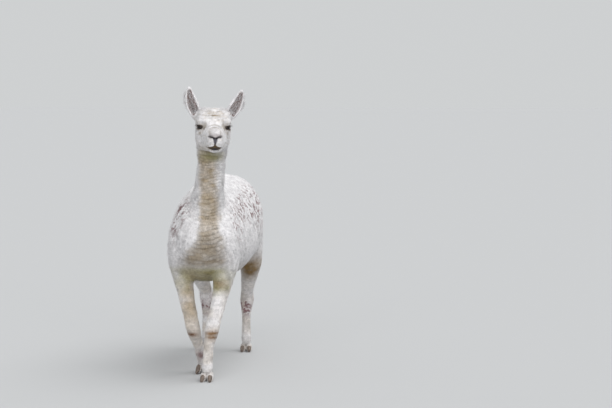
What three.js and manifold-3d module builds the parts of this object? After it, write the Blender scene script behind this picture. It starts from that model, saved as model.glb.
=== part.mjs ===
// A life-size shorn alpaca, walking, with its head turned a little to its left.
// Millimetres, +Z up. The animal faces -Y and its own left side is +X.
// The origin is on the ground, under the middle of the whole animal.
import * as THREE from 'three'
import { mergeVertices } from 'three/addons/utils/BufferGeometryUtils.js'
import Module from 'manifold-3d'

const wasm = await Module()
wasm.setup()

// ---------------------------------------------------------------- driving dimensions
const GAP = 0.3                         // clearance wherever two solids meet
const CAP_RINGS = 2                     // rings in each rounded end of a limb
const X_AXIS = [1, 0, 0]

// The head's own axes: forward along the face, out to its left, and up.
const HEAD_AT = [86, -420, 1156]        // midway between the eyes
const HEAD_TURN = THREE.MathUtils.degToRad(15)
const HEAD_ROLL = THREE.MathUtils.degToRad(1.6)

const EYE_RADIUS = 18.5
const EYE_FORWARD = 14
const EYE_OUT = 54.5
const EYE_RAISE = 1
const EYE_FACING = 1                    // radians from the way the face looks

const EAR_LENGTH = 132
const EAR_LEAN = { right: 16.5, left: 24.8 } // degrees out from the head's own up
const EAR_BOW = { right: 10, left: 9 }       // how far the middle bends outwards
const EAR_FACING = { right: 8, left: 15 }    // degrees that the cup turns outwards

const TOE_LENGTH = 82
const TOE_SPREAD = 14.5                 // from the foot's middle line to each toe's
const TOE_SPLAY = 7                     // degrees between the toe and the foot's line
const NAIL_LENGTH = 24
const SOLE_PRESS = 2.5                  // how far a pad's curve is flattened by the ground

// Trunk, front to back: aside, place along the body, top, bottom, widest level, half width,
// squareness. The rump swings a little to the left, over the leg that bears it.
const TRUNK = [
  [0, -366, 748, 538, 640, 84, 2.0],
  [0, -318, 816, 487, 622, 120, 2.0],
  [0, -254, 862, 444, 602, 152, 2.0],
  [0, -167, 883, 431, 586, 178, 2.0],
  [0, -48, 889, 431, 582, 200, 2.0],
  [2, 71, 901, 447, 600, 204, 2.1],
  [8, 190, 915, 488, 640, 198, 2.25],
  [12, 285, 903, 550, 668, 186, 2.3],
  [10, 364, 862, 600, 690, 147, 2.3],
  [8, 424, 790, 640, 708, 84, 2.2],
]

// Neck, trunk to poll: place, half width, reach forwards, reach back.
const NECK = [
  [6, -190, 690, 104, 194, 140],
  [22, -246, 782, 78, 138, 112],
  [37, -284, 864, 68, 97, 88],
  [50, -311, 942, 63, 75, 71],
  [60, -333, 1008, 61, 65, 64],
  [67, -352, 1068, 72, 62, 63],
  [76, -376, 1134, 69, 50, 56],
]

// Head, poll to muzzle: how far in front of the eyes, then top, bottom and widest level
// above the eyes, half width and squareness.
const HEAD = [
  [-90, 26, -54, -12, 46, 2.0],
  [-70, 67, -80, 0, 66, 2.4],
  [-42, 89, -94, 4, 77, 3.6],
  [-14, 87, -100, -8, 79, 3.8],
  [12, 71, -102, -18, 72, 3.0],
  [37, 47, -103, -29, 57, 2.6],
  [63, 21, -104, -42, 45, 2.4],
  [90, 4, -107, -53, 38, 2.3],
  [114, -6, -109, -57, 36, 2.3],
  [128, -16, -99, -56, 31, 2.2],
]

// Ear, base to tip: share of its length, half width, reach forwards, reach back.
const EAR = [
  [-0.10, 22, 12, 15],
  [0.08, 28, 13, 15],
  [0.30, 31, 10, 12],
  [0.55, 27, 7, 9],
  [0.80, 16.5, 4.5, 5.5],
  [0.95, 8.5, 2.8, 3.2],
]

// Each leg is a girth (half width, reach forwards, reach back) at each place of its path,
// from the fetlock up to the shoulder or the hip.
const FORELEG_GIRTH = [
  [24, 27, 27],
  [21.5, 23, 24],
  [25, 26, 28],
  [32, 34, 32],
  [31, 31, 33],
  [32, 37, 39],
  [37, 46, 51],
  [47, 58, 66],
  [60, 80, 80],
  [64, 92, 90],
  [56, 72, 75],
]
const FORELEG_LEFT = [
  [45, -386, 60], [49, -381, 140], [57, -377, 190], [64, -375, 226], [71, -359, 270], [82, -326, 330],
  [91, -290, 395], [98, -256, 458], [104, -245, 530], [96, -250, 620], [80, -245, 705],
]
const FORELEG_RIGHT = [
  [-13, -216, 58], [-22, -251, 132], [-31, -280, 180], [-37, -298, 214], [-47, -297, 260],
  [-63, -284, 325], [-82, -262, 395], [-97, -238, 458], [-104, -240, 530], [-96, -250, 620],
  [-80, -245, 705],
]

const HINDLEG_GIRTH = [
  [23.5, 26, 26],
  [20.5, 22, 23],
  [22, 25, 27],
  [33, 33, 50],
  [30, 29, 48],
  [34, 35, 50],
  [42, 46, 62],
  [54, 64, 86],
  [67, 84, 116],
  [80, 102, 138],
  [84, 100, 118],
  [68, 78, 78],
]
const HINDLEG_LEFT = [
  [103, 338, 60], [102, 346, 140], [102, 352, 205], [103, 360, 255], [107, 347, 305], [119, 308, 355],
  [133, 266, 408], [144, 232, 462], [136, 214, 525], [121, 240, 605], [104, 275, 690], [84, 288, 765],
]
const HINDLEG_RIGHT = [
  [-112, 372, 60], [-112, 380, 140], [-113, 386, 205], [-114, 393, 255], [-118, 378, 305],
  [-126, 334, 355], [-136, 286, 408], [-144, 244, 462], [-136, 222, 525], [-121, 244, 605],
  [-104, 275, 690], [-84, 288, 765],
]

// Where each foot's middle stands, how far its toes turn to the animal's left in degrees, and
// its heel's lift, for a foot that is leaving the ground.
const FEET = {
  fore_left: { at: [44, -392], turn: 2, lift: 0 },
  fore_right: { at: [-9, -226], turn: -4, lift: 20 },
  hind_left: { at: [103, 332], turn: 4, lift: 0 },
  hind_right: { at: [-112, 366], turn: -4, lift: 0 },
}

// Toe, nail tip to heel: share of its length, height of its middle, half width, over, under.
const TOE = [
  [0.00, 9, 6, 6, 9],
  [0.14, 14, 10.5, 10, 15],
  [0.34, 18, 13, 14, 20],
  [0.60, 22, 14.5, 18, 24],
  [0.86, 22, 13.5, 17, 24],
]

// Tail, root to tip, hanging close behind the rump: place behind, height, half width, depth.
const TAIL_ASIDE = 8                    // as far to the left as the rump
const TAIL = [
  [378, 806, 32, 30],
  [423, 796, 37, 33],
  [460, 758, 39, 31],
  [475, 706, 38, 28],
  [477, 656, 33, 24],
  [471, 612, 24, 17],
]

// The plates that part the body: middle, the way the plate faces, width and height.
const NECK_CUT = { at: [20, -268, 792], faces: [0, -0.6, 0.8], size: [420, 420] }
const POLL_CUT = { at: [74, -350, 1118], faces: [0, -0.76, 0.65], size: [240, 240] }
const ELBOWS_CUT = { at: [0, -250, 436], faces: [0, 0.17, 0.985], size: [420, 300] }
const STIFLES_CUT = { at: [0, 270, 522], faces: [0, -0.475, 0.88], size: [460, 440] }
const FETLOCK_LEVEL = 74
const LEG_CUT_SIZE = [116, 116]
const EAR_CUT_SIZE = [110, 110]
const WRIST = 4                         // the station of a leg's path at its carpus or hock

// ---------------------------------------------------------------- solids from rings
const vector = (values) => new THREE.Vector3(...values)

/** Sample a list of stations at evenly spaced places, smoothly between them. */
function blend(stations, count) {
  const along = [0]
  for (let i = 1; i < stations.length; i++) {
    const step = vector(stations[i].slice(0, 3)).distanceTo(vector(stations[i - 1].slice(0, 3)))
    along.push(along[i - 1] + step)
  }
  const width = stations[0].length
  const curve = new THREE.CubicInterpolant(along, stations.flat(), width)
  const total = along[along.length - 1]
  return Array.from({ length: count }, (_, i) => Array.from(curve.evaluate(total * i / (count - 1))))
}

/** One superellipse: a half width, and different reaches over and under its middle line. */
function ringPoint(ring, angle) {
  const power = 2 / ring.square
  const wide = Math.cos(angle)
  const high = Math.sin(angle)
  const reach = high > 0 ? ring.over : ring.under
  const out = Math.sign(wide) * Math.abs(wide) ** power * ring.half
  const up = Math.sign(high) * Math.abs(high) ** power * reach
  return ring.centre.clone().addScaledVector(ring.side, out).addScaledVector(ring.up, up)
}

/**
 * A closed solid through stations [x, y, z, half, over, under, square], with rounded ends.
 * Every ring is square to the path, or to ringsFace where that is given, and its width runs
 * as near as it can along sideHint.
 */
function limb(stations, { rings, around, caps, sideHint = X_AXIS, ringsFace = null }) {
  const samples = blend(stations, rings)
  const centres = samples.map((s) => vector(s.slice(0, 3)))
  const body = samples.map(([, , , half, over, under, square], i) => {
    const tangent = ringsFace ? vector(ringsFace) : centres[Math.min(i + 1, rings - 1)].clone()
      .sub(centres[Math.max(i - 1, 0)]).normalize()
    const side = vector(sideHint)
    side.addScaledVector(tangent, -side.dot(tangent)).normalize()
    const up = side.clone().cross(tangent)
    return { centre: centres[i], tangent, side, up, half, over, under, square }
  })
  const rounded = (ring, depth, direction) => Array.from({ length: CAP_RINGS }, (_, i) => {
    const angle = (Math.PI / 2) * ((i + 1) / (CAP_RINGS + 1))
    const shrink = Math.cos(angle)
    const centre = ring.centre.clone()
      .addScaledVector(ring.tangent, direction * depth * Math.sin(angle))
    const { half, over, under } = ring
    return { ...ring, centre, half: half * shrink, over: over * shrink, under: under * shrink }
  })
  const first = body[0]
  const last = body[rings - 1]
  const all = [...rounded(first, caps[0], -1).reverse(), ...body, ...rounded(last, caps[1], 1)]

  const points = all.flatMap((ring) =>
    Array.from({ length: around }, (_, j) => ringPoint(ring, (2 * Math.PI * j) / around)))
  const startPole = points.push(first.centre.clone().addScaledVector(first.tangent, -caps[0])) - 1
  const endPole = points.push(last.centre.clone().addScaledVector(last.tangent, caps[1])) - 1

  const faces = []
  const lastRow = (all.length - 1) * around
  for (let j = 0; j < around; j++) {
    const next = (j + 1) % around
    faces.push(startPole, j, next)
    for (let row = 0; row < lastRow; row += around) {
      faces.push(row + j, row + around + j, row + next)
      faces.push(row + around + j, row + around + next, row + next)
    }
    faces.push(endPole, lastRow + next, lastRow + j)
  }
  return new wasm.Manifold(new wasm.Mesh({
    numProp: 3,
    vertProperties: new Float32Array(points.flatMap((p) => [p.x, p.y, p.z])),
    triVerts: new Uint32Array(faces),
  }))
}

/** A three.js geometry, moved to its place, as a solid. */
function solid(geometry, matrix = new THREE.Matrix4()) {
  const placed = geometry.clone().applyMatrix4(matrix)
  placed.deleteAttribute('normal')
  placed.deleteAttribute('uv')
  const merged = mergeVertices(placed)
  return new wasm.Manifold(new wasm.Mesh({
    numProp: 3,
    vertProperties: new Float32Array(merged.attributes.position.array),
    triVerts: new Uint32Array(merged.index.array),
  }))
}

/** A thin plate that parts the body. */
function slab({ at, faces, size }) {
  const normal = vector(faces).normalize()
  const turn = new THREE.Quaternion().setFromUnitVectors(new THREE.Vector3(0, 0, 1), normal)
  const matrix = new THREE.Matrix4().compose(vector(at), turn, new THREE.Vector3(1, 1, 1))
  return solid(new THREE.BoxGeometry(...size, GAP), matrix)
}

const joined = (solids) => wasm.Manifold.union(solids)

// ---------------------------------------------------------------- head, in its own axes
const headForward = new THREE.Vector3(Math.sin(HEAD_TURN), -Math.cos(HEAD_TURN), 0)
const headLeft = new THREE.Vector3(Math.cos(HEAD_TURN), Math.sin(HEAD_TURN), -Math.sin(HEAD_ROLL))
  .normalize()
const headUp = headLeft.clone().cross(headForward).negate().normalize()

/** A point given as forward, left and up from between the eyes. */
const onHead = (forward, left, up) => vector(HEAD_AT)
  .addScaledVector(headForward, forward).addScaledVector(headLeft, left).addScaledVector(headUp, up)

function makeHead() {
  const stations = HEAD.map(([forward, top, bottom, level, half, square]) =>
    [...onHead(forward, 0, level), half, top - level, level - bottom, square]).reverse()
  const ringsFace = headForward.clone().negate().toArray()
  return limb(stations, { rings: 16, around: 20, caps: [13, 9], sideHint: headLeft.toArray(), ringsFace })
}

const eyePlace = (sign) => onHead(EYE_FORWARD, sign * EYE_OUT, EYE_RAISE)

function makeEye(sign, clearance = 0) {
  const ball = new THREE.SphereGeometry(EYE_RADIUS + clearance, 12, 8)
  const outward = headForward.clone().multiplyScalar(Math.cos(EYE_FACING))
    .addScaledVector(headLeft, sign * Math.sin(EYE_FACING))
  const turn = new THREE.Quaternion().setFromUnitVectors(new THREE.Vector3(0, 1, 0), outward)
  return solid(ball, new THREE.Matrix4().compose(eyePlace(sign), turn, new THREE.Vector3(1, 1, 1)))
}

/** The brow's ridge over each eye. */
function makeBrow(sign) {
  const stations = [
    [...onHead(32, sign * 50, 17), 7, 6, 9, 2],
    [...onHead(14, sign * 61, 25), 13, 9, 11, 2],
    [...onHead(-16, sign * 66, 27), 15, 10, 16, 2],
    [...onHead(-40, sign * 62, 20), 10, 8, 14, 2],
  ]
  return limb(stations, { rings: 5, around: 8, caps: [6, 6], sideHint: headLeft.toArray() })
}

// ---------------------------------------------------------------- ears
function earFrame(sign) {
  const side = sign > 0 ? 'left' : 'right'
  const lean = THREE.MathUtils.degToRad(EAR_LEAN[side])
  const axis = headUp.clone().multiplyScalar(Math.cos(lean))
    .addScaledVector(headLeft, sign * Math.sin(lean))
  const facing = THREE.MathUtils.degToRad(EAR_FACING[side]) * sign
  const across = headLeft.clone().applyAxisAngle(axis, facing)
  return { axis, across, base: onHead(-32, sign * 72, 56), bow: EAR_BOW[side] }
}

/** The ear's leaf, and the hollow that opens it to the front. */
function makeEar(sign) {
  const { axis, across, base, bow } = earFrame(sign)
  const front = across.clone().cross(axis)
  const shape = (share, half, over, under, forward) => {
    const outwards = 4 * sign * bow * share * (1 - share)
    const at = base.clone().addScaledVector(axis, share * EAR_LENGTH)
      .addScaledVector(across, outwards).addScaledVector(front, forward)
    return [at.x, at.y, at.z, half, over, under, 2]
  }
  const leaf = limb(EAR.map(([share, half, over, under]) => shape(share, half, over, under, 0)),
    { rings: 8, around: 10, caps: [6, 6.6], sideHint: across.toArray() })
  const hollow = limb(EAR.slice(1, 5).map(([share, half, over, under], i) =>
    shape(share + (i === 0 ? 0.06 : 0), half * 0.74, 2 * over, under * 0.55, over * 0.35)),
    { rings: 6, around: 8, caps: [8, 9], sideHint: across.toArray() })
  return leaf.subtract(hollow)
}

/** The cut that parts the ear from the head, along the slope of the brow. */
function earCut(sign) {
  const normal = headLeft.clone().multiplyScalar(sign * 0.78).addScaledVector(headUp, 0.62)
  return slab({ at: onHead(-32, sign * 77, 61).toArray(), faces: normal.toArray(), size: EAR_CUT_SIZE })
}

// ---------------------------------------------------------------- trunk, neck and tail
function makeTrunk(clearance = 0) {
  const stations = TRUNK.map(([x, y, top, bottom, level, half, square]) =>
    [x, y, level, half + clearance, top - level + clearance, level - bottom + clearance, square])
  const caps = [32 + clearance, 26 + clearance]
  return limb(stations, { rings: 17, around: 22, caps, ringsFace: [0, 1, 0] })
}

function makeNeck() {
  const stations = NECK.map((station) => [...station, 2.1])
  return limb(stations, { rings: 12, around: 18, caps: [30, 18] })
}

/** The tail, cut off where it meets the rump. */
function makeTail() {
  const stations = TAIL.map(([y, z, half, depth]) => [TAIL_ASIDE, y, z, half, depth, depth, 2])
  return limb(stations, { rings: 8, around: 10, caps: [10, 16] }).subtract(makeTrunk(GAP))
}

// ---------------------------------------------------------------- legs and feet
function makeLeg(path, girth, rings) {
  const stations = path.map((at, i) => [...at, ...girth[i], 2.1])
  return limb(stations, { rings, around: 12, caps: [30, 40] })
}

/** One of a foot's two toes, parted into its fleshy pad and its nail. */
function makeToe({ at, turn, lift }, sign) {
  const angle = THREE.MathUtils.degToRad(turn + sign * TOE_SPLAY)
  const forward = new THREE.Vector3(Math.sin(angle), -Math.cos(angle), 0)
  const across = new THREE.Vector3(Math.cos(angle), Math.sin(angle), 0)
  const foot = THREE.MathUtils.degToRad(turn)
  const middle = new THREE.Vector3(at[0], at[1], 0)
    .addScaledVector(new THREE.Vector3(Math.cos(foot), Math.sin(foot), 0), sign * TOE_SPREAD)
  const stations = TOE.map(([share, height, half, over, under]) => {
    const place = middle.clone().addScaledVector(forward, TOE_LENGTH * (0.5 - share))
    const raised = height + lift * share
    return [place.x, place.y, raised, half, over, under + SOLE_PRESS, 2.3]
  })
  const whole = limb(stations, { rings: 4, around: 8, caps: [4, 11], sideHint: across.toArray() })

  const tip = middle.clone().addScaledVector(forward, TOE_LENGTH * 0.5 + 4)
  const normal = forward.clone().multiplyScalar(0.86).add(new THREE.Vector3(0, 0, 0.5)).normalize()
  const cutAt = tip.clone().addScaledVector(forward, -NAIL_LENGTH).setZ(20)
  const offset = cutAt.dot(normal)
  return {
    pad: whole.trimByPlane(normal.clone().negate().toArray(), -(offset - GAP / 2)),
    nail: whole.trimByPlane(normal.toArray(), offset + GAP / 2),
  }
}

// ---------------------------------------------------------------- the whole body, then its cuts
const SIDES = { left: 1, right: -1 }
const LEGS = {
  fore_left: makeLeg(FORELEG_LEFT, FORELEG_GIRTH, 18),
  fore_right: makeLeg(FORELEG_RIGHT, FORELEG_GIRTH, 18),
  hind_left: makeLeg(HINDLEG_LEFT, HINDLEG_GIRTH, 20),
  hind_right: makeLeg(HINDLEG_RIGHT, HINDLEG_GIRTH, 20),
}
const PATHS = {
  fore_left: FORELEG_LEFT, fore_right: FORELEG_RIGHT, hind_left: HINDLEG_LEFT, hind_right: HINDLEG_RIGHT,
}

const nails = {}
const pads = []
for (const [name, foot] of Object.entries(FEET)) {
  for (const [place, sign] of Object.entries({ outer: 1, inner: -1 })) {
    const facing = name.endsWith('left') ? sign : -sign
    const { pad, nail } = makeToe(foot, facing)
    pads.push(pad)
    nails[`nail_${name}_${place}`] = nail
  }
}

const heads = [makeHead(), makeBrow(1), makeBrow(-1)]
const ears = [makeEar(1), makeEar(-1)]
let flesh = joined([makeTrunk(), makeNeck(), ...heads, ...ears, ...Object.values(LEGS), ...pads])
for (const nail of Object.values(nails)) flesh = flesh.subtract(nail)

/** The cuts across one leg: at its carpus or hock, and at its fetlock. */
function legCuts(path) {
  const across = (i) => vector(path[i + 1]).sub(vector(path[i - 1])).toArray()
  const [x, y] = path[0]
  return [
    slab({ at: path[WRIST], faces: across(WRIST), size: LEG_CUT_SIZE }),
    slab({ at: [x, y, FETLOCK_LEVEL], faces: [0, 0, 1], size: LEG_CUT_SIZE }),
  ]
}

const cuts = [
  slab(NECK_CUT), slab(POLL_CUT), slab(ELBOWS_CUT), slab(STIFLES_CUT),
  earCut(1), earCut(-1), makeEye(1, GAP), makeEye(-1, GAP),
  ...Object.values(PATHS).flatMap(legCuts),
]
flesh = flesh.subtract(joined(cuts)).trimByPlane([0, 0, 1], 0)

// A point near the middle of each fleshy piece, which tells the pieces apart.
const middleOf = (path, from, to) => vector(path[from]).add(vector(path[to])).multiplyScalar(0.5)
const pieceMiddles = {
  head: onHead(20, 0, -20),
  neck: new THREE.Vector3(50, -311, 950),
  trunk: new THREE.Vector3(0, 20, 670),
}
for (const [side, sign] of Object.entries(SIDES)) {
  const { axis, base } = earFrame(sign)
  pieceMiddles[`ear_${side}`] = base.clone().addScaledVector(axis, EAR_LENGTH / 2)
}
for (const [name, path] of Object.entries(PATHS)) {
  pieceMiddles[`leg_${name}_upper`] = middleOf(path, WRIST, WRIST + 3)
  pieceMiddles[`leg_${name}_cannon`] = middleOf(path, 1, 3)
  pieceMiddles[`foot_${name}`] = new THREE.Vector3(FEET[name].at[0], FEET[name].at[1], 30)
}

function nearestName(piece) {
  const { min, max } = piece.boundingBox()
  const centre = vector(min).add(vector(max)).multiplyScalar(0.5)
  const names = Object.keys(pieceMiddles)
  names.sort((a, b) => pieceMiddles[a].distanceTo(centre) - pieceMiddles[b].distanceTo(centre))
  return names[0]
}

const solids = { eye_left: makeEye(1), eye_right: makeEye(-1), tail: makeTail() }
for (const [name, nail] of Object.entries(nails)) solids[name] = nail.trimByPlane([0, 0, 1], 0)
for (const piece of flesh.decompose()) {
  const name = nearestName(piece)
  if (solids[name]) throw new Error(`two pieces of the body are both nearest to ${name}`)
  solids[name] = piece
}

// ---------------------------------------------------------------- colours
const COAT = { color: 0xe2dedd, roughness: 0.95, metalness: 0 }
const HORN = { color: 0x4a423a, roughness: 0.55, metalness: 0 }
const EYE = { color: 0x120d0b, roughness: 0.08, metalness: 0 }

function finishFor(name) {
  if (name.startsWith('eye_')) return new THREE.MeshStandardMaterial(EYE)
  if (name.startsWith('nail_')) return new THREE.MeshStandardMaterial(HORN)
  return new THREE.MeshStandardMaterial(COAT)
}

/** A solid's triangles as a geometry of their own. */
function geometryOf(shape) {
  const mesh = shape.getMesh()
  const geometry = new THREE.BufferGeometry()
  geometry.setAttribute('position', new THREE.Float32BufferAttribute(mesh.vertProperties, 3))
  geometry.setIndex(Array.from(mesh.triVerts))
  geometry.computeVertexNormals()
  return geometry
}

const box = new THREE.Box3()
for (const shape of Object.values(solids)) {
  const { min, max } = shape.boundingBox()
  box.union(new THREE.Box3(vector(min), vector(max)))
}
const middle = box.getCenter(new THREE.Vector3())

const alpaca = new THREE.Group()
for (const [name, shape] of Object.entries(solids)) {
  const mesh = new THREE.Mesh(geometryOf(shape), finishFor(name))
  mesh.name = name
  mesh.position.set(-middle.x, -middle.y, 0)
  alpaca.add(mesh)
}

export default alpaca
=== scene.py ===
import math

import bmesh
import bpy
import numpy as np
from mathutils import Matrix, Vector


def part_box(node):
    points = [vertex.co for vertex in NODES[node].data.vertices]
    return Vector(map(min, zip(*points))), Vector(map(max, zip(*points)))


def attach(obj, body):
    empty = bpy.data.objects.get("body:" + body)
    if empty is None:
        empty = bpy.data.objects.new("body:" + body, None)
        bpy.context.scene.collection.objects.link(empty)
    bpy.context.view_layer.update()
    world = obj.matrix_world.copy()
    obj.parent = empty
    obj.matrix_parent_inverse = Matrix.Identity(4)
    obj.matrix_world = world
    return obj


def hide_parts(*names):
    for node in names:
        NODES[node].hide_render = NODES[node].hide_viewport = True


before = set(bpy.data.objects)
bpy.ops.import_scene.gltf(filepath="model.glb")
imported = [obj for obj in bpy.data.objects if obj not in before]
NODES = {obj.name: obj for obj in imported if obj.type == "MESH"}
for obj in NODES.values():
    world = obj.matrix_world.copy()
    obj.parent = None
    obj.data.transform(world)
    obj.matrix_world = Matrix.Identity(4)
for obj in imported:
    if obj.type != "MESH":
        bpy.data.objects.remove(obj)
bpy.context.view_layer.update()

FLESH = [name for name in NODES if not name.startswith(("nail_", "eye_"))]
SIDES = {"left": 1.0, "right": -1.0}


def unit(v):
    v = np.asarray(v, float)
    return v / np.maximum(np.linalg.norm(v, axis=-1, keepdims=True), 1e-9)


def add_object(name, data):
    item = bpy.data.objects.new(name, data)
    bpy.context.scene.collection.objects.link(item)
    return item


def middle(node):
    low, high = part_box(node)
    return (np.array(low) + np.array(high)) / 2


# ---------------------------------------------------------------- places, from the frame
# The head's own axes, worked out from where the frame's two eyes are.
UP = np.array([0.0, 0.0, 1.0])
EYE_AT = {side: middle(f"eye_{side}") for side in SIDES}
LEFT = unit(EYE_AT["left"] - EYE_AT["right"])
FORWARD = unit(np.cross(LEFT, UP))
HEAD_UP = unit(np.cross(FORWARD, LEFT))
EYES_AHEAD = 0.014             # how far the eyes lie in front of the head's own middle
HEAD_AT = (EYE_AT["left"] + EYE_AT["right"]) / 2 - FORWARD * EYES_AHEAD

# Places on the body are given from its middle, which the eyes lead by this much.
EYES_FROM_MIDDLE = (0.086, -0.42)
MIDDLE_X = HEAD_AT[0] - EYES_FROM_MIDDLE[0]
MIDDLE_Y = HEAD_AT[1] - EYES_FROM_MIDDLE[1]


def at(x, y, z):
    """A place in the frame, with x and y given from the middle of the body."""
    return np.array([x + MIDDLE_X, y + MIDDLE_Y, z])


def leftward(points):
    """How far points lie to the animal's left of the middle of its body."""
    return points[:, 0] - MIDDLE_X


def along(points):
    """How far points lie behind the middle of the body."""
    return points[:, 1] - MIDDLE_Y


def head_place(points):
    """Points as (forward, left, up) from between the eyes."""
    return (points - HEAD_AT) @ np.array([FORWARD, LEFT, HEAD_UP]).T


def on_head(forward, left, up):
    return HEAD_AT + FORWARD * forward + LEFT * left + HEAD_UP * up


# ---------------------------------------------------------------- the photograph's camera
CAMERA_AT = at(1.21, -6.166, 1.282)
CAMERA_YAW = math.radians(7.0)
CAMERA_DOWN = math.radians(4.574)
FOCAL_PIXELS = 1300.0
PHOTO_WIDTH = 612.0
SENSOR = 36.0


def make_camera():
    data = bpy.data.cameras.new("camera")
    data.sensor_width = SENSOR
    data.lens = FOCAL_PIXELS / PHOTO_WIDTH * SENSOR
    camera = add_object("camera", data)
    camera.location = CAMERA_AT
    camera.rotation_euler = (math.pi / 2 - CAMERA_DOWN, 0, CAMERA_YAW)
    bpy.context.scene.camera = camera


make_camera()

# ---------------------------------------------------------------- driving dimensions
VOXEL = 0.0025                 # grid of the skin before it is lightened
GROW = 0.0006                  # what closes the frame's thin cuts
SOLE = 0.0012                  # what lies lower than this stands on the floor
SKIN_TRIANGLES = 185000
SEED = 11

EYE_RADIUS = 0.0182
EYE_FACING = math.radians(46)  # how far each eye looks out from the way the face looks
EYE_RAISE = math.radians(4)
LID_HALF_LENGTH = math.radians(57)
LID_UPPER = math.radians(29)
LID_LOWER = math.radians(27)
LID_REACH = 0.045              # how far from the eye's middle its lids have any say
LID_GAP = 0.0012               # from the eyeball to the skin of its lids
LID_ROLL = 0.0016              # how far the lids' rims stand out
LID_CREASE = 0.001            # how deep the fold round them is
SUNK_BEHIND = 0.0035           # how far the skin lies behind the open eyeball's front
LIDS_END = 3.2                 # the lid measure up to which the skin is laid anew

EAR_LENGTH = 0.132
EAR_LEAN = {"right": math.radians(16.5), "left": math.radians(24.8)}
EAR_FACING = {"right": math.radians(8), "left": math.radians(15)}
EAR_BOW = {"right": 0.01, "left": 0.009}
EAR_BASE = (-0.032, 0.072, 0.056)

FOOT_TOP = 0.095


def eye_axes(side):
    """The way an eye looks, and what is level and what is up across it."""
    out = FORWARD * math.cos(EYE_FACING) + LEFT * SIDES[side] * math.sin(EYE_FACING)
    out = unit(out * math.cos(EYE_RAISE) + HEAD_UP * math.sin(EYE_RAISE))
    level = unit(np.cross(HEAD_UP, out))
    return out, level, np.cross(out, level)


# ---------------------------------------------------------------- small maths
def ease(value, low, high):
    """0 below low, 1 above high, and smooth between."""
    t = np.clip((value - low) / (high - low), 0, 1)
    return t * t * (3 - 2 * t)


def band(value, start, full, fading, end):
    """0 outside start and end, 1 from full to fading, and smooth between."""
    return ease(value, start, full) * (1 - ease(value, fading, end))


def bell(value, width):
    """1 at 0, and falling away to both sides."""
    return np.exp(-np.square(value / width))


def lattice(cells, seed):
    """A fixed pseudo-random number from 0 to 1 for each whole-number cell."""
    c = cells.astype(np.int64)
    h = c[:, 0] * 73856093 ^ c[:, 1] * 19349663 ^ c[:, 2] * 83492791 ^ (seed * 2654435761)
    h = (h ^ (h >> 13)) * 1274126177 & 0x7FFFFFFF
    h = (h ^ (h >> 16)) & 0xFFFF
    return h / 65535.0


def noise(points, scale, seed):
    """Smooth noise from -1 to 1; scale is the size of its blotches, one number or three."""
    q = points / np.asarray(scale, float)
    cell = np.floor(q)
    f = q - cell
    f = f * f * (3 - 2 * f)
    total = 0
    for corner in np.ndindex(2, 2, 2):
        k = np.array(corner)
        weight = np.prod(np.where(k == 1, f, 1 - f), axis=1)
        total = total + weight * lattice(cell + k, seed)
    return total * 2 - 1


# ---------------------------------------------------------------- meshes
def rows_of(items, attribute, width, kind=np.float32):
    """One attribute of a mesh's items, as rows of the given width."""
    values = np.empty(len(items) * width, kind)
    items.foreach_get(attribute, values)
    return values.reshape(-1, width)


def packed(values):
    """Values in the form that foreach_set takes."""
    return np.ascontiguousarray(values, np.float32).ravel()


def positions(mesh):
    return rows_of(mesh.vertices, "co", 3).astype(float)


def place(mesh, points):
    mesh.vertices.foreach_set("co", packed(points))
    mesh.update()


def triangles(mesh):
    mesh.calc_loop_triangles()
    return rows_of(mesh.loop_triangles, "vertices", 3, np.int32)


def edges_of(mesh):
    return rows_of(mesh.edges, "vertices", 2, np.int32)


def normals_of(points, tri):
    """Vertex normals, weighted by area."""
    face = np.cross(points[tri[:, 1]] - points[tri[:, 0]], points[tri[:, 2]] - points[tri[:, 0]])
    total = np.zeros_like(points)
    for axis in range(3):
        for corner in range(3):
            total[:, axis] += np.bincount(tri[:, corner], face[:, axis], len(points))
    return unit(total)


def welded(mesh):
    """The points and triangles of a mesh, with the points that lie together made one."""
    points = positions(mesh)
    _, first, inverse = np.unique(np.round(points * 1e6), axis=0, return_index=True, return_inverse=True)
    return points[first], inverse.ravel()[triangles(mesh)]


def shade_smooth(mesh):
    mesh.polygons.foreach_set("use_smooth", np.ones(len(mesh.polygons), bool))


def mesh_object(name, points, faces):
    """A mesh object from points and triangles, shaded smooth."""
    mesh = bpy.data.meshes.new(name)
    faces = np.asarray(faces, np.int32)
    mesh.vertices.add(len(points))
    mesh.vertices.foreach_set("co", packed(points))
    mesh.loops.add(faces.size)
    mesh.loops.foreach_set("vertex_index", faces.ravel())
    mesh.polygons.add(len(faces))
    mesh.polygons.foreach_set("loop_start", np.arange(0, faces.size, 3, dtype=np.int32))
    mesh.update(calc_edges=True)
    shade_smooth(mesh)
    return add_object(name, mesh)


def evaluated(item):
    """The object's mesh with its modifiers applied; the object keeps it."""
    graph = bpy.context.evaluated_depsgraph_get()
    mesh = bpy.data.meshes.new_from_object(item.evaluated_get(graph))
    item.modifiers.clear()
    item.data = mesh
    return mesh


def remeshed(item, voxel):
    """The object's mesh rebuilt as one closed surface on an even grid."""
    remesh = item.modifiers.new("voxels", "REMESH")
    remesh.mode = "VOXEL"
    remesh.voxel_size = voxel
    return evaluated(item)


def smoothed(values, edges, strength, rounds):
    """Values eased towards the mean of their neighbours along the mesh's edges."""
    values = np.array(values, float)
    single = values.ndim == 1
    if single:
        values = values[:, None]
    count = len(values)
    valence = np.bincount(edges.ravel(), minlength=count).astype(float)
    valence = np.maximum(valence, 1)[:, None]
    strength = np.broadcast_to(np.asarray(strength, float), count)[:, None]
    for _ in range(rounds):
        total = np.empty_like(values)
        for k in range(values.shape[1]):
            column = values[:, k]
            total[:, k] = np.bincount(edges[:, 0], column[edges[:, 1]], count)
            total[:, k] += np.bincount(edges[:, 1], column[edges[:, 0]], count)
        values += strength * (total / valence - values)
    return values[:, 0] if single else values


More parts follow.
